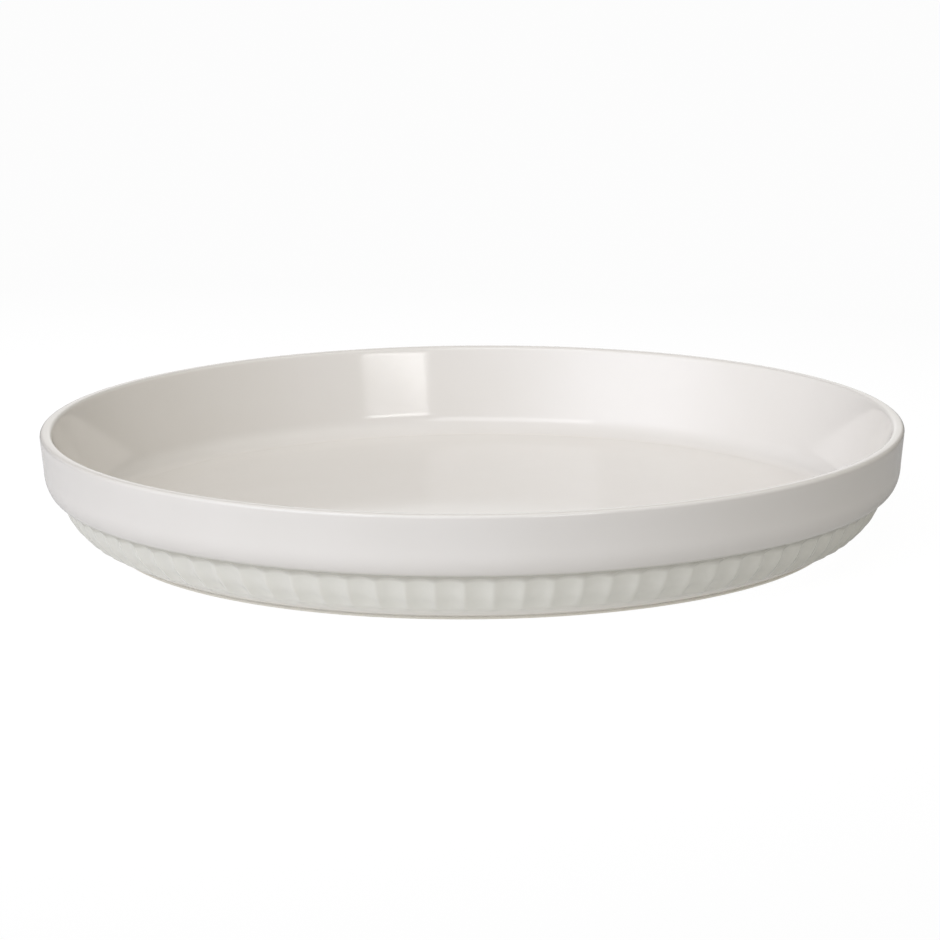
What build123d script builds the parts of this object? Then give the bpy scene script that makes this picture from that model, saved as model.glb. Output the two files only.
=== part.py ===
from build123d import *
import os
from math import acos, atan2, ceil, cos, degrees, hypot, pi, radians, sin, tan

# A round fluted stoneware quiche dish, in millimetres and degrees.
# Its origin is the centre of the foot ring on the table, with +Z up through the centre.
# Its profile is stepped inwards from the rim, so a wider or narrower rim carries the rest with it.

# Overall size
dish_diameter = 300.0
dish_height = 39.6

# Plain band round the rim, which stands out over the flutes
band_draft = 1.1
band_overhang = 4.9
band_edge_height = 8.6

# Fluted wall, which leans in as it goes down from the band
flute_height = 10.4
wall_lean = 3.9
flute_count = 94
flute_start_angle = 2.68
flute_depth = 1.35
flute_overlap = 0.35
flute_nose_rise = 2.6
flute_nose_inset = 2.0
flute_top_land = 0.4

# Bend under the flutes, and the plain skirt that runs in from it to the foot ring
bend_radius = 16.0
skirt_height = 8.0
skirt_run = 14.1

# Foot ring and the height up to which it is bare clay
foot_width = 5.0
foot_height = 2.5
bare_height = 1.0
foot_edge_chamfer = 0.5
foot_root_chamfer = 0.9

# Inside of the dish
wall_thickness = 3.8
low_wall_thickness = 4.2
floor_thickness = 6.0
cove_radius = 9.0
rim_outer_share = 0.34
rim_inner_share = 0.42

# Roundings are turned as narrow cones that stay this near to the true curve
facet_sag = 0.3

# How far a cutting shape runs past what it cuts
overrun = 4.0

# Radii and levels that follow
dish_radius = dish_diameter / 2
band_low_radius = dish_radius - band_draft
wall_top_radius = band_low_radius - band_overhang
wall_low_radius = wall_top_radius - wall_lean
foot_radius = wall_low_radius - skirt_run
foot_inner_radius = foot_radius - foot_width
lip_inner_radius = dish_radius - wall_thickness
inner_floor_radius = wall_low_radius - low_wall_thickness
rim_outer_radius = wall_thickness * rim_outer_share
rim_inner_radius = wall_thickness * rim_inner_share
lip_level = dish_height - rim_outer_radius
step_level = skirt_height + flute_height
band_edge_level = step_level + band_edge_height
floor_level = foot_height + floor_thickness

# Corners and arc centres of the profile, as radius and level
skirt_foot = (foot_radius, bare_height)
wall_foot = (wall_low_radius, skirt_height)
wall_head = (wall_top_radius, step_level)
inner_lip = (lip_inner_radius, dish_height)
inner_corner = (inner_floor_radius, floor_level)
floor_centre = (0, floor_level)
band_edge_centre = (wall_top_radius, band_edge_level)
lip_centre = (dish_radius - rim_outer_radius, lip_level)


def arc_points(centre, reach, rise, start, end):
    """Points round an elliptical stretch of the profile, close enough together for the facet sag."""
    facet_turn = 2 * acos(1 - facet_sag / max(reach, rise))
    facets = ceil(abs(end - start) / facet_turn)
    turns = [start + (end - start) * step / facets for step in range(facets + 1)]
    return [(centre[0] + reach * cos(turn), centre[1] + rise * sin(turn)) for turn in turns]


def rounded_corner(before, corner, after, radius):
    """The points that round a corner of the profile."""
    back = (Vector(*before) - Vector(*corner)).normalized()
    ahead = (Vector(*after) - Vector(*corner)).normalized()
    half_opening = radians(back.get_angle(ahead)) / 2
    centre = Vector(*corner) + (back + ahead).normalized() * (radius / sin(half_opening))
    leave = Vector(*corner) + back * (radius / tan(half_opening)) - centre
    start = atan2(leave.Y, leave.X)
    turn = pi - 2 * half_opening
    side = 1 if back.cross(ahead).Z < 0 else -1
    return arc_points((centre.X, centre.Y), radius, radius, start, start + side * turn)


def turned_blank():
    """The dish before its flutes: one profile turned round the centre line."""
    outline = [
        (0, foot_height),
        (foot_inner_radius - foot_root_chamfer, foot_height),
        (foot_inner_radius, foot_height - foot_root_chamfer),
        (foot_inner_radius, bare_height),
        skirt_foot,
        *rounded_corner(skirt_foot, wall_foot, wall_head, bend_radius),
        *arc_points(band_edge_centre, band_overhang, band_edge_height, -pi / 2, 0),
        *arc_points(lip_centre, rim_outer_radius, rim_outer_radius, 0, pi / 2),
        *rounded_corner((dish_radius, dish_height), inner_lip, inner_corner, rim_inner_radius),
        *rounded_corner(inner_lip, inner_corner, floor_centre, cove_radius),
        floor_centre,
    ]
    with BuildPart() as blank:
        with BuildSketch(Plane.XZ):
            with BuildLine():
                Polyline(*outline, close=True)
            make_face()
        revolve(axis=Axis.Z)
    return blank.part


def flute_tool():
    """One scoop: a cutter with a tapered nose laid down the wall, trimmed to its own share of the wall."""
    half_share = pi / flute_count
    half_width = wall_top_radius * sin(half_share) + flute_overlap
    cutter_radius = (half_width**2 + flute_depth**2) / (2 * flute_depth)
    stand_off = cutter_radius - flute_depth
    slope = atan2(wall_lean, flute_height)
    top_radius = wall_top_radius - flute_top_land * sin(slope) + stand_off * cos(slope)
    top_level = step_level - flute_top_land * cos(slope) - stand_off * sin(slope)
    cutter_length = hypot(wall_lean, flute_height) + overrun
    cutter = Cylinder(cutter_radius, cutter_length, align=(Align.CENTER, Align.CENTER, Align.MAX))
    cutter = chamfer(cutter.edges().sort_by(Axis.Z)[-1], flute_nose_rise, flute_nose_inset)
    side = dish_diameter * tan(half_share)
    share = Polygon((0, 0), (dish_diameter, -side), (dish_diameter, side), align=None)
    laid = Location((top_radius, 0, top_level), (0, degrees(slope), 0)) * cutter
    return laid & extrude(share, dish_height)


def glazed_dish():
    """The glazed dish, down to the glaze line on the foot ring."""
    scoop = flute_tool()
    angles = [flute_start_angle + 360 / flute_count * i for i in range(flute_count)]
    return turned_blank() - [Rotation(0, 0, angle) * scoop for angle in angles]


def bare_foot():
    """The unglazed contact zone of the foot ring."""
    ring = Cylinder(foot_radius, bare_height, align=(Align.CENTER, Align.CENTER, Align.MIN))
    ring -= Cylinder(foot_inner_radius, bare_height, align=(Align.CENTER, Align.CENTER, Align.MIN))
    return chamfer(ring.edges().filter_by(GeomType.CIRCLE).group_by(Axis.Z)[0], foot_edge_chamfer)


os.makedirs("parts", exist_ok=True)
for name, shape in {"glazed_dish": glazed_dish(), "bare_foot": bare_foot()}.items():
    export_step(shape, f"parts/{name}.step")
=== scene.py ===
from math import cos, pi, radians, sin, tan

import bmesh
import bpy
import numpy as np
from mathutils import Matrix, Vector


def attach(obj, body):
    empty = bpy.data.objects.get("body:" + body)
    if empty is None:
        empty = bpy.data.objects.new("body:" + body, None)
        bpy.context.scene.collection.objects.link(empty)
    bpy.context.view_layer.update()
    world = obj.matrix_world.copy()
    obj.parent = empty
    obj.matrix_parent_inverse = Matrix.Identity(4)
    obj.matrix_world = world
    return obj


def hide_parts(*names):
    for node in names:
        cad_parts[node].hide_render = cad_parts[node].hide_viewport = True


# A fluted quiche dish: pressed stoneware under a glossy ivory glaze, with its foot ring left bare.
# The dish is typed in millimetres and turned to metres where it meets Blender.
# The studio round it is typed in metres, with directions in degrees: azimuth 0 is the camera's side.

MM = 0.001

# Rim band and the rounded edge under it
RIM_RADIUS = 150.0
DISH_HEIGHT = 39.6
BAND_DRAFT = 1.1
BAND_OVERHANG = 4.9
BAND_EDGE_HEIGHT = 8.6

# Wall under the band, the bend at its foot and the plain skirt
FLUTE_HEIGHT = 10.4
WALL_LEAN = 3.9
BEND_RADIUS = 16.0
SKIRT_HEIGHT = 8.0
SKIRT_RUN = 14.1

# Flutes pressed into that wall: scoops of one radius, with an arched nose and a tail that fades out
FLUTE_COUNT = 94
FLUTE_START_ANGLE = 2.68
FLUTE_DEPTH = 1.6
FLUTE_CUTTER_RADIUS = 8.6
FLUTE_TOP_LAND = 0.35
FLUTE_NOSE_RISE = 2.6
FLUTE_TAIL = 6.0
FLUTE_RUN_DOWN = 7.0
FLUTE_FOOT_MARGIN = 1.0

# How far the glaze rounds the flutes' outer edges and the arrises between them
GLAZE_SOFTENING = 0.22
ARRIS_SOFTENING = 0.34
NEIGHBOUR_SOFTENING = 0.001

# Foot ring, the height up to which it is bare clay, and the glaze's overhang above that
FOOT_WIDTH = 5.0
FOOT_HEIGHT = 2.5
BARE_HEIGHT = 1.0
FOOT_ROOT_CHAMFER = 0.9
FOOT_EDGE_ROUND = 0.25
GLAZE_THICKNESS = 0.12

# Inside of the dish
WALL_THICKNESS = 3.8
LOW_WALL_THICKNESS = 4.2
FLOOR_THICKNESS = 6.0
COVE_RADIUS = 9.0
LIP_OUTER_SHARE = 0.34
LIP_INNER_SHARE = 0.42

# Radii and levels that follow
BAND_LOW_RADIUS = RIM_RADIUS - BAND_DRAFT
WALL_TOP_RADIUS = BAND_LOW_RADIUS - BAND_OVERHANG
WALL_LOW_RADIUS = WALL_TOP_RADIUS - WALL_LEAN
FOOT_RADIUS = WALL_LOW_RADIUS - SKIRT_RUN
FOOT_INNER_RADIUS = FOOT_RADIUS - FOOT_WIDTH
LIP_INNER_RADIUS = RIM_RADIUS - WALL_THICKNESS
INNER_FLOOR_RADIUS = WALL_LOW_RADIUS - LOW_WALL_THICKNESS
LIP_OUTER_ROUND = WALL_THICKNESS * LIP_OUTER_SHARE
LIP_INNER_ROUND = WALL_THICKNESS * LIP_INNER_SHARE
LIP_LEVEL = DISH_HEIGHT - LIP_OUTER_ROUND
STEP_LEVEL = SKIRT_HEIGHT + FLUTE_HEIGHT
BAND_EDGE_LEVEL = STEP_LEVEL + BAND_EDGE_HEIGHT
FLOOR_LEVEL = FOOT_HEIGHT + FLOOR_THICKNESS

# How finely the pieces are turned, and how far the dish's columns crowd towards the arrises
COLUMNS_PER_FLUTE = 8
FOOT_COLUMNS_PER_FLUTE = 4
ARRIS_CROWDING = 0.35
MERGE_DISTANCE = 0.01

# Glaze: its colours, with the painted shade for the crease under the band, its sizes and depths in
# millimetres, and its shine
GLAZE_PALE = "#EDE9E3"
GLAZE_WARM = "#E9E5DE"
GLAZE_OVER_FLUTES = "#EDEBE1"
CREASE_PAINTED_SHADE = "#CCC9BE"
GLAZE_CLOUD_SIZE = 28.0
GLAZE_PEEL_SIZE = 5.0
GLAZE_PEEL_DEPTH = 0.012
GLAZE_ROUGHNESS = 0.09
CERAMIC_IOR = 1.5

# How far down the wall from the crease under the band the glaze's yellower tone over the flutes starts and
# ends, and how far either side of the crease its painted shade reaches
FLUTE_TONE_FULL = 2.0
FLUTE_TONE_KEPT = 16.0
FLUTE_TONE_GONE = 26.0
CREASE_SHADE_KEPT = 0.9
CREASE_SHADE_GONE = 3.2

# Bare clay: real grit is finer than this, and is drawn this coarse so that it shows
CLAY_PALE = "#E6E2D8"
CLAY_WARM = "#DDD8CB"
CLAY_GRIT_SIZE = 0.8
CLAY_GRIT_DEPTH = 0.05
CLAY_ROUGHNESS = 0.85

# Studio floor: a pale card under the dish and to its left, which fades into a grey board
FLOOR_RADIUS = 6.0
FLOOR_SIDES = 96
CARD_PAINT = "#E9E9E9"
BOARD_PAINT = "#7A7A7A"
CARD_CENTRE = (-0.14, 0, 0)
CARD_KEPT = 0.2
CARD_GONE = 0.54

# Shares of the floor's white for each kind of ray: the camera's, the gloss's round the foot and behind
# the dish, and the diffuse rays' close under the dish. The white is over 1 to make up the camera's share.
FLOOR_WHITE = 1.07
CAMERA_SHARE = 0.9
GLOSS_SHARE = 0.2
GLOSS_KEPT = 0.142
GLOSS_GONE = 0.16
BEHIND_STARTS = 0.95
BEHIND_FULL = 0.975
UNDER_SHARE = 0.5
UNDER_KEPT = 0.128
UNDER_GONE = 0.138

# Soft glows of the room: azimuth, elevation, how tight the glow is, strength and colour
ROOM_GLOWS = {
    "key": (-50, 24, 8, 2.95, "#EDF2FF"),
    "left": (-90, 45, 4, 0.3, "#FFF2E4"),
    "fill": (100, 60, 8, 0.85, "#FFFCF2"),
    "front_right": (60, 50, 6, 0.1, "#FFFBF4"),
    "all_round": (0, 90, 0, 0.16, "#FFFBF4"),
    "white_background": (180, 9, 30, 1.0, "#FFFFFF"),
}

# Lamps: a softbox overhead, and a window of three panes whose reflection shows on the back wall
LAMP_DISTANCE = 3.0
OVERHEAD_WAY = {"azimuth": -16, "elevation": 52}
OVERHEAD = {"width": 2.2, "height": 1.1, "radiance": 2.2, "colour": "#F9FAFF"}
PANE_AZIMUTH = 24.2
PANE_ELEVATIONS = (18.1, 23.5, 28.9)
PANE = {"width": 0.92, "height": 0.19, "radiance": 7.0, "colour": "#FFFFFF"}

# The photograph's camera, as fitted to the outline of the dish. Its aim is in millimetres.
FRAME_WIDTH = 940
CAMERA_DISTANCE = 1.4
CAMERA_ELEVATION = 12.047
CAMERA_ROLL = 0.41
CAMERA_FOCAL_PIXELS = 4004.9
CAMERA_REACH = (0.05, 50)
SENSOR_WIDTH = 36.0
AIM_HEIGHT = 21.0
AIM_UP = 1.154
AIM_RIGHT = -0.801


def linear(hex_colour):
    """An sRGB hex colour as the linear RGBA that shaders take."""
    parts = [int(hex_colour[i:i + 2], 16) / 255 for i in (1, 3, 5)]
    return [p / 12.92 if p <= 0.04045 else ((p + 0.055) / 1.055) ** 2.4 for p in parts] + [1.0]


def add_node(tree, kind, settings=None, **links):
    """Adds a node, gives it its settings and socket values, and links what comes from other nodes.

    A socket is given by its name, or by its number after an underscore where names repeat.
    """
    node = tree.nodes.new(kind)
    for name, value in (settings or {}).items():
        setattr(node, name, value)
    for name, value in links.items():
        socket = node.inputs[int(name[1:]) if name[1:].isdigit() else name.replace("_", " ")]
        if isinstance(value, bpy.types.NodeSocket):
            tree.links.new(value, socket)
        else:
            socket.default_value = value
    return node


def empty_tree(owner):
    """The node tree of a new material or world, cleared of what it starts with."""
    owner.use_nodes = True
    owner.node_tree.nodes.clear()
    return owner.node_tree


def spread(first, last, count):
    """Values from the first towards the last, leaving the last one out."""
    return [first + (last - first) * i / count for i in range(count)]


def straight(start, end, count):
    """Profile points along a straight run, without its end."""
    return list(zip(spread(start[0], end[0], count), spread(start[1], end[1], count)))


def arc(centre, reach, rise, start, end, count):
    """Profile points round an elliptical arc in degrees, without its end."""
    turns = [radians(angle) for angle in spread(start, end, count)]
    return [(centre[0] + reach * cos(turn), centre[1] + rise * sin(turn)) for turn in turns]


def corner_round(before, corner, after, radius, count):
    """Profile points that round a corner, from where the arc starts to where it ends."""
    back = (Vector(before) - Vector(corner)).normalized()
    ahead = (Vector(after) - Vector(corner)).normalized()
    half = back.angle(ahead) / 2
    centre = Vector(corner) + (back + ahead).normalized() * (radius / sin(half))
    leave = Vector(corner) + back * (radius / tan(half)) - centre
    turn = pi - 2 * half
    side = 1 if back.x * ahead.y - back.y * ahead.x < 0 else -1
    arms = [leave.copy() for _ in range(count + 1)]
    for i, arm in enumerate(arms):
        arm.rotate(Matrix.Rotation(side * turn * i / count, 2))
    return [tuple(centre + arm) for arm in arms]


def glazed_profile():
    """The section of the glazed dish, from the middle of its floor round to the middle of its underside.

    The last number of each run is how many points it has.
    """
    inner_corner, inner_lip = (INNER_FLOOR_RADIUS, FLOOR_LEVEL), (LIP_INNER_RADIUS, DISH_HEIGHT)
    wall_foot, wall_head = (WALL_LOW_RADIUS, SKIRT_HEIGHT), (WALL_TOP_RADIUS, STEP_LEVEL)
    skirt_foot = (FOOT_RADIUS, BARE_HEIGHT)
    lip_centre = (RIM_RADIUS - LIP_OUTER_ROUND, LIP_LEVEL)
    recess_foot = (FOOT_INNER_RADIUS, BARE_HEIGHT)
    recess_corner = (FOOT_INNER_RADIUS, FOOT_HEIGHT - FOOT_ROOT_CHAMFER)
    recess_edge = (FOOT_INNER_RADIUS - FOOT_ROOT_CHAMFER, FOOT_HEIGHT)
    cove = corner_round((0, FLOOR_LEVEL), inner_corner, inner_lip, COVE_RADIUS, 9)
    lip = corner_round(inner_corner, inner_lip, (RIM_RADIUS, DISH_HEIGHT), LIP_INNER_ROUND, 6)
    bend = corner_round(wall_head, wall_foot, skirt_foot, BEND_RADIUS, 20)
    return [
        *straight((0, FLOOR_LEVEL), cove[0], 9),
        *cove[:-1],
        *straight(cove[-1], lip[0], 19),
        *lip[:-1],
        *straight(lip[-1], (lip_centre[0], DISH_HEIGHT), 2),
        *arc(lip_centre, LIP_OUTER_ROUND, LIP_OUTER_ROUND, 90, 0, 7),
        *straight((RIM_RADIUS, LIP_LEVEL), (BAND_LOW_RADIUS, BAND_EDGE_LEVEL), 5),
        *arc((WALL_TOP_RADIUS, BAND_EDGE_LEVEL), BAND_OVERHANG, BAND_EDGE_HEIGHT, 0, -90, 12),
        *straight(wall_head, bend[0], 14),
        *bend[:-1],
        *straight(bend[-1], skirt_foot, 4),
        *straight(skirt_foot, recess_foot, 2),
        *straight(recess_foot, recess_corner, 1),
        *straight(recess_corner, recess_edge, 1),
        *straight(recess_edge, (0, FOOT_HEIGHT), 5),
        (0, FOOT_HEIGHT),
    ]


def foot_profile():
    """The section of the bare contact ring, set in from the glaze by the glaze's own thickness."""
    inner, outer = FOOT_INNER_RADIUS + GLAZE_THICKNESS, FOOT_RADIUS - GLAZE_THICKNESS
    edge = FOOT_EDGE_ROUND
    return [
        (inner, BARE_HEIGHT),
        (outer, BARE_HEIGHT),
        *arc((outer - edge, edge), edge, edge, 0, -90, 5),
        *arc((inner + edge, edge), edge, edge, -90, -180, 5),
        (inner, edge),
    ]


def profile_lengths(profile):
    """How far along the profile each of its points lies, in millimetres."""
    steps = np.hypot(*np.diff(np.array(profile), axis=0).T)
    return np.concatenate([[0], np.cumsum(steps)])


def crease_course(profile):
    """How far along the profile the crease between the band and the wall lies."""
    apart = np.array(profile) - (WALL_TOP_RADIUS, STEP_LEVEL)
    return float(profile_lengths(profile)[np.argmin(np.hypot(*apart.T))])


def turned(name, profile, columns, closed):
    """A piece turned round the centre line from its profile: one flute's share first, then its copies."""
    bm = bmesh.new()
    course = bm.verts.layers.float.new("course")
    verts = [bm.verts.new((r * MM, 0, z * MM)) for r, z in profile]
    for vert, length in zip(verts, profile_lengths(profile).tolist()):
        vert[course] = length
    edges = [bm.edges.new(pair) for pair in zip(verts, verts[1:] + verts[:1] if closed else verts[1:])]
    round_z = {"cent": (0, 0, 0), "axis": (0, 0, 1), "dvec": (0, 0, 0)}
    bmesh.ops.spin(bm, geom=verts + edges, angle=2 * pi / FLUTE_COUNT, steps=columns, **round_z)
    share = bm.verts[:] + bm.edges[:] + bm.faces[:]
    bmesh.ops.spin(bm, geom=share, angle=2 * pi, steps=FLUTE_COUNT, use_duplicate=True, **round_z)
    bmesh.ops.remove_doubles(bm, verts=bm.verts, dist=MERGE_DISTANCE * MM)
    bmesh.ops.recalc_face_normals(bm, faces=bm.faces)
    mesh = bpy.data.meshes.new(name)
    bm.to_mesh(mesh)
    bm.free()
    mesh.polygons.foreach_set("use_smooth", [True] * len(mesh.polygons))
    piece = bpy.data.objects.new(name, mesh)
    bpy.context.scene.collection.objects.link(piece)
    return piece


def soft_max(a, b, softness):
    """The larger of two values, with the change from one to the other rounded over."""
    return (a + b + np.sqrt((a - b) ** 2 + softness ** 2)) / 2


def flute_cut(share, down, radius):
    """How deep the flutes are cut at each place, from its share of a flute, its way down and its radius.

    What the glaze's rounding leaves a millimetre outside a flute's edge is taken off again.
    """
    tail_start = FLUTE_HEIGHT + FLUTE_RUN_DOWN - FLUTE_TAIL
    nose_short = np.clip((FLUTE_NOSE_RISE - down) / FLUTE_NOSE_RISE, 0, None)
    tail_past = np.clip((down - tail_start) / FLUTE_TAIL, 0, None)
    lost = FLUTE_DEPTH * (nose_short ** 2 + tail_past ** 2)

    def scoop(offset):
        across = (share - offset) * 2 * pi / FLUTE_COUNT * radius
        return FLUTE_DEPTH - lost - across ** 2 / (2 * FLUTE_CUTTER_RADIUS)

    neighbours = soft_max(scoop(-1), scoop(1), NEIGHBOUR_SOFTENING)
    cut = soft_max(scoop(0), neighbours, ARRIS_SOFTENING)
    cut = soft_max(cut, 0.0, GLAZE_SOFTENING) - GLAZE_SOFTENING ** 2 / 4
    on_wall = (down > -FLUTE_TOP_LAND) & (radius > FOOT_RADIUS + FLUTE_FOOT_MARGIN)
    return np.where(on_wall, np.clip(cut, 0, None), 0.0)


def press_flutes(piece, profile):
    """Presses the flutes into the turned wall, with the mesh's columns crowded towards the arrises."""
    mesh = piece.data
    count = len(mesh.vertices)
    place = np.empty(count * 3)
    mesh.vertices.foreach_get("co", place)
    place = place.reshape(-1, 3) / MM
    course = np.empty(count)
    mesh.attributes["course"].data.foreach_get("value", course)

    radius = np.hypot(place[:, 0], place[:, 1])
    pitch = 2 * pi / FLUTE_COUNT
    turn = np.arctan2(place[:, 1], place[:, 0]) / pitch
    whole = np.round(turn)
    share = turn - whole
    share = share + ARRIS_CROWDING * np.sin(2 * pi * share) / (2 * pi)
    angle = radians(FLUTE_START_ANGLE) + (whole + share) * pitch
    cut = flute_cut(share, course - crease_course(profile) - FLUTE_TOP_LAND, radius)

    # The cut goes inwards, square to the section
    lengths = profile_lengths(profile)
    along = np.gradient(np.array(profile), lengths, axis=0)
    radius = radius + cut * np.interp(course, lengths, along[:, 1])
    place[:, 2] -= cut * np.interp(course, lengths, along[:, 0])
    place[:, 0] = radius * np.cos(angle)
    place[:, 1] = radius * np.sin(angle)
    mesh.vertices.foreach_set("co", (place * MM).ravel())
    mesh.update()


def ivory_glaze(crease):
    """Ivory stoneware glaze, sprayed on in one coat and fired to a glass.

    It gives the eye a hard, even gloss over a warm off-white body. The coat's thickness shows as broad
    faint clouds and as a very slight peel in the reflections. It lies a little yellower over the
    flutes. A soft grey line of painted shade darkens the crease under the band, where the overhang shades it.
    """
    material = bpy.data.materials.new("ivory_stoneware_glaze")
    tree = empty_tree(material)
    place = add_node(tree, "ShaderNodeTexCoord").outputs["Object"]
    clouds = add_node(tree, "ShaderNodeTexNoise", Vector=place, Scale=1 / (GLAZE_CLOUD_SIZE * MM), Detail=3.0)
    tone = add_node(
        tree, "ShaderNodeMix", {"data_type": "RGBA"},
        Factor=clouds.outputs[0], _6=linear(GLAZE_PALE), _7=linear(GLAZE_WARM),
    )

    course = add_node(tree, "ShaderNodeAttribute", {"attribute_name": "course"}).outputs["Fac"]
    down = add_node(tree, "ShaderNodeMath", {"operation": "SUBTRACT"}, _0=course, _1=crease).outputs[0]
    starts = add_node(
        tree, "ShaderNodeMapRange",
        Value=down, From_Min=0.0, From_Max=FLUTE_TONE_FULL, To_Min=0.0, To_Max=1.0,
    )
    ends = add_node(
        tree, "ShaderNodeMapRange",
        Value=down, From_Min=FLUTE_TONE_KEPT, From_Max=FLUTE_TONE_GONE, To_Min=1.0, To_Max=0.0,
    )
    over_flutes = add_node(
        tree, "ShaderNodeMath", {"operation": "MULTIPLY"}, _0=starts.outputs[0], _1=ends.outputs[0]
    )
    tone = add_node(
        tree, "ShaderNodeMix", {"data_type": "RGBA"},
        Factor=over_flutes.outputs[0], _6=tone.outputs[2], _7=linear(GLAZE_OVER_FLUTES),
    )

    # Painted shade: a soft grey line darkens the crease under the band, where the band's overhang shades the
    # wall
    apart = add_node(tree, "ShaderNodeMath", {"operation": "ABSOLUTE"}, _0=down).outputs[0]
    painted_crease_shade = add_node(
        tree, "ShaderNodeMapRange",
        Value=apart, From_Min=CREASE_SHADE_KEPT, From_Max=CREASE_SHADE_GONE, To_Min=1.0, To_Max=0.0,
    )
    tone = add_node(
        tree, "ShaderNodeMix", {"data_type": "RGBA"},
        Factor=painted_crease_shade.outputs[0], _6=tone.outputs[2], _7=linear(CREASE_PAINTED_SHADE),
    )

    peel = add_node(tree, "ShaderNodeTexNoise", Vector=place, Scale=1 / (GLAZE_PEEL_SIZE * MM), Detail=2.0)
    bump = add_node(
        tree, "ShaderNodeBump", Height=peel.outputs[0], Strength=1.0, Distance=GLAZE_PEEL_DEPTH * MM
    )
    glaze = add_node(
        tree, "ShaderNodeBsdfPrincipled",
        Base_Color=tone.outputs[2], Roughness=GLAZE_ROUGHNESS, IOR=CERAMIC_IOR, Normal=bump.outputs[0],
    )
    add_node(tree, "ShaderNodeOutputMaterial", Surface=glaze.outputs[0])
    return material


def bare_stoneware():
    """Bare stoneware, wiped clean of glaze before it was fired.

    It gives the eye a matt, buff ring with a fine grit, duller than the glaze above it.
    """
    material = bpy.data.materials.new("bare_fired_stoneware")
    tree = empty_tree(material)
    place = add_node(tree, "ShaderNodeTexCoord").outputs["Object"]
    grit = add_node(tree, "ShaderNodeTexNoise", Vector=place, Scale=1 / (CLAY_GRIT_SIZE * MM), Detail=4.0)
    tone = add_node(
        tree, "ShaderNodeMix", {"data_type": "RGBA"},
        Factor=grit.outputs[0], _6=linear(CLAY_PALE), _7=linear(CLAY_WARM),
    )
    bump = add_node(
        tree, "ShaderNodeBump", Height=grit.outputs[0], Strength=1.0, Distance=CLAY_GRIT_DEPTH * MM
    )
    clay = add_node(
        tree, "ShaderNodeBsdfPrincipled",
        Base_Color=tone.outputs[2], Roughness=CLAY_ROUGHNESS, IOR=CERAMIC_IOR, Normal=bump.outputs[0],
    )
    add_node(tree, "ShaderNodeOutputMaterial", Surface=clay.outputs[0])
    return material


def floor_paint():
    """Matt studio paint, rolled on: a pale card under the dish that fades into a grey board.

    It gives the camera a white ground with a trace of the dish's shadow. The gloss sees white round
    the foot and behind the dish, and diffuse rays find some of the white close under the dish.
    """
    material = bpy.data.materials.new("white_studio_floor")
    tree = empty_tree(material)
    path = add_node(tree, "ShaderNodeLightPath").outputs
    place = add_node(tree, "ShaderNodeTexCoord").outputs["Object"]
    away = add_node(tree, "ShaderNodeVectorMath", {"operation": "LENGTH"}, _0=place).outputs["Value"]

    round_foot = add_node(
        tree, "ShaderNodeMapRange",
        Value=away, From_Min=GLOSS_KEPT, From_Max=GLOSS_GONE, To_Min=GLOSS_SHARE, To_Max=0.0,
    )
    ahead = add_node(tree, "ShaderNodeVectorMath", {"operation": "NORMALIZE"}, _0=place).outputs["Vector"]
    rearward = add_node(tree, "ShaderNodeVectorMath", {"operation": "DOT_PRODUCT"}, _0=ahead, _1=(0, 1, 0))
    behind = add_node(
        tree, "ShaderNodeMapRange",
        Value=rearward.outputs["Value"], From_Min=BEHIND_STARTS, From_Max=BEHIND_FULL, To_Min=0.0, To_Max=1.0,
    )
    in_gloss = add_node(
        tree, "ShaderNodeMath", {"operation": "MAXIMUM"}, _0=round_foot.outputs[0], _1=behind.outputs[0]
    )
    under = add_node(
        tree, "ShaderNodeMapRange",
        Value=away, From_Min=UNDER_KEPT, From_Max=UNDER_GONE, To_Min=UNDER_SHARE, To_Max=0.0,
    )
    white_share = 0.0
    shares = {
        "Is Camera Ray": CAMERA_SHARE,
        "Is Glossy Ray": in_gloss.outputs[0],
        "Is Diffuse Ray": under.outputs[0],
    }
    for ray, share in shares.items():
        shown = add_node(tree, "ShaderNodeMath", {"operation": "MULTIPLY"}, _0=path[ray], _1=share)
        larger = add_node(
            tree, "ShaderNodeMath", {"operation": "MAXIMUM"}, _0=white_share, _1=shown.outputs[0]
        )
        white_share = larger.outputs[0]

    off_card = add_node(tree, "ShaderNodeVectorMath", {"operation": "DISTANCE"}, _0=place, _1=CARD_CENTRE)
    board = add_node(
        tree, "ShaderNodeMapRange",
        Value=off_card.outputs["Value"], From_Min=CARD_KEPT, From_Max=CARD_GONE, To_Min=0.0, To_Max=1.0,
    )
    shade = add_node(
        tree, "ShaderNodeMix", {"data_type": "RGBA"},
        Factor=board.outputs[0], _6=linear(CARD_PAINT), _7=linear(BOARD_PAINT),
    )
    paint = add_node(tree, "ShaderNodeBsdfDiffuse", Color=shade.outputs[2])
    white = add_node(tree, "ShaderNodeEmission", Color=(1, 1, 1, 1), Strength=FLOOR_WHITE)
    mixed = add_node(tree, "ShaderNodeMixShader", _0=white_share, _1=paint.outputs[0], _2=white.outputs[0])
    add_node(tree, "ShaderNodeOutputMaterial", Surface=mixed.outputs[0])
    return material


def studio_floor():
    """The round floor that the dish stands on."""
    bm = bmesh.new()
    bmesh.ops.create_circle(bm, cap_ends=True, segments=FLOOR_SIDES, radius=FLOOR_RADIUS)
    mesh = bpy.data.meshes.new("studio_floor")
    bm.to_mesh(mesh)
    bm.free()
    mesh.materials.append(floor_paint())
    floor = bpy.data.objects.new("studio_floor", mesh)
    bpy.context.scene.collection.objects.link(floor)


def towards(azimuth, elevation):
    """The direction of a light, as seen from the dish. Azimuth is positive to the camera's right."""
    az, el = radians(azimuth), radians(elevation)
    return Vector((sin(az) * cos(el), -cos(az) * cos(el), sin(el)))


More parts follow.
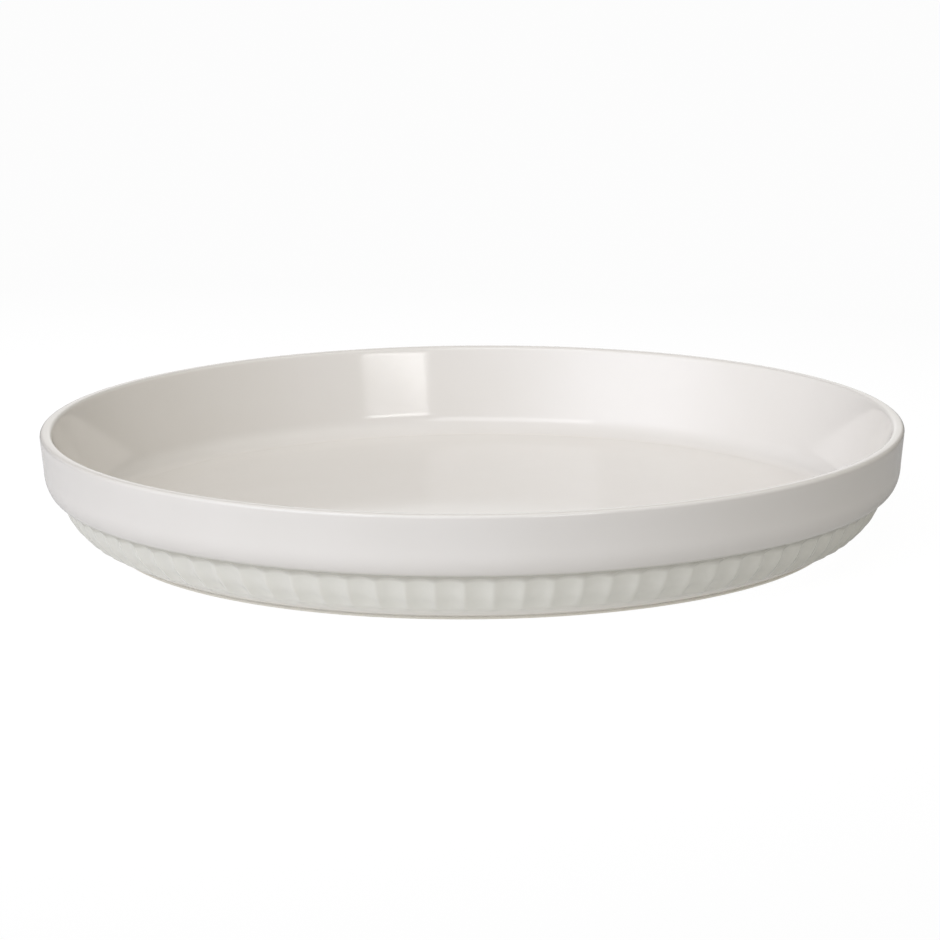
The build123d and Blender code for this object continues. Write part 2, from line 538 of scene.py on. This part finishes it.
def studio_world():
    """The lit room round the dish as a sum of broad soft glows, seen by the camera as a white background."""
    world = bpy.data.worlds.new("studio_room")
    bpy.context.scene.world = world
    tree = empty_tree(world)
    looking = add_node(tree, "ShaderNodeTexCoord").outputs["Generated"]
    room = None
    for name, (azimuth, elevation, tightness, strength, colour) in ROOM_GLOWS.items():
        middle = towards(azimuth, elevation)
        facing = add_node(tree, "ShaderNodeVectorMath", {"operation": "DOT_PRODUCT"}, _0=looking, _1=middle)
        near = add_node(tree, "ShaderNodeMath", {"operation": "MAXIMUM"}, _0=facing.outputs["Value"], _1=0.0)
        fall = add_node(tree, "ShaderNodeMath", {"operation": "POWER"}, _0=near.outputs[0], _1=tightness)
        level = add_node(
            tree, "ShaderNodeMath", {"operation": "MULTIPLY", "label": name}, _0=fall.outputs[0], _1=strength
        )
        glow = add_node(tree, "ShaderNodeBackground", Color=linear(colour), Strength=level.outputs[0])
        light = glow.outputs[0]
        room = add_node(tree, "ShaderNodeAddShader", _0=room, _1=light).outputs[0] if room else light
    seen = add_node(tree, "ShaderNodeLightPath").outputs["Is Camera Ray"]
    white = add_node(tree, "ShaderNodeBackground", Color=(1, 1, 1, 1), Strength=1.0)
    mixed = add_node(tree, "ShaderNodeMixShader", _0=seen, _1=room, _2=white.outputs[0])
    add_node(tree, "ShaderNodeOutputWorld", Surface=mixed.outputs[0])


def softbox(name, azimuth, elevation, width, height, radiance, colour):
    """A rectangular studio light that faces the dish."""
    direction = towards(azimuth, elevation)
    data = bpy.data.lights.new(name, "AREA")
    data.shape = "RECTANGLE"
    data.size, data.size_y = width, height
    data.energy = radiance * pi * width * height
    data.color = linear(colour)[:3]
    lamp = bpy.data.objects.new(name, data)
    lamp.location = direction * LAMP_DISTANCE
    lamp.rotation_euler = direction.to_track_quat("Z", "Y").to_euler()
    bpy.context.scene.collection.objects.link(lamp)


def scene_camera():
    """The photograph's camera: far off, low, and rolled by a fraction of a degree."""
    tilt, roll = radians(CAMERA_ELEVATION), radians(CAMERA_ROLL)
    right = Vector((1, 0, 0))
    up = Vector((0, sin(tilt), cos(tilt)))
    back = Vector((0, -cos(tilt), sin(tilt)))
    aim = Vector((0, 0, AIM_HEIGHT * MM))
    target = aim + up * AIM_UP * MM + right * AIM_RIGHT * MM
    eye = aim + back * CAMERA_DISTANCE
    out = (eye - target).normalized()
    top = up * cos(roll) + right * sin(roll)
    side = top.cross(out).normalized()
    top = out.cross(side)
    data = bpy.data.cameras.new("photograph_camera")
    data.sensor_width = SENSOR_WIDTH
    data.lens = CAMERA_FOCAL_PIXELS / FRAME_WIDTH * SENSOR_WIDTH
    data.clip_start, data.clip_end = CAMERA_REACH
    camera = bpy.data.objects.new("photograph_camera", data)
    camera.matrix_world = Matrix((
        (side.x, top.x, out.x, eye.x),
        (side.y, top.y, out.y, eye.y),
        (side.z, top.z, out.z, eye.z),
        (0, 0, 0, 1),
    ))
    bpy.context.scene.collection.objects.link(camera)
    bpy.context.scene.camera = camera


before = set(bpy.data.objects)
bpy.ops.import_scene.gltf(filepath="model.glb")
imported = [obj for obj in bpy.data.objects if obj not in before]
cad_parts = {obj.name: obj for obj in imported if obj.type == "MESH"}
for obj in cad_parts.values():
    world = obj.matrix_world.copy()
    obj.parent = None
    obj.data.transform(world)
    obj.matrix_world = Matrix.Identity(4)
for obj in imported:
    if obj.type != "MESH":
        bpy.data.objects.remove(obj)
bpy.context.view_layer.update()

section = glazed_profile()
dish = turned("glazed_dish_visual", section, COLUMNS_PER_FLUTE, closed=False)
press_flutes(dish, section)
dish.data.materials.append(ivory_glaze(crease_course(section)))
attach(dish, "root")
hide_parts("glazed_dish")

foot = turned("bare_foot_visual", foot_profile(), FOOT_COLUMNS_PER_FLUTE, closed=True)
foot.data.materials.append(bare_stoneware())
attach(foot, "root")
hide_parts("bare_foot")

studio_floor()
studio_world()
softbox("overhead_softbox", **OVERHEAD_WAY, **OVERHEAD)
for number, elevation in enumerate(PANE_ELEVATIONS, 1):
    softbox(f"window_pane_{number}", PANE_AZIMUTH, elevation, **PANE)
scene_camera()
bpy.context.scene.view_settings.view_transform = "Standard"
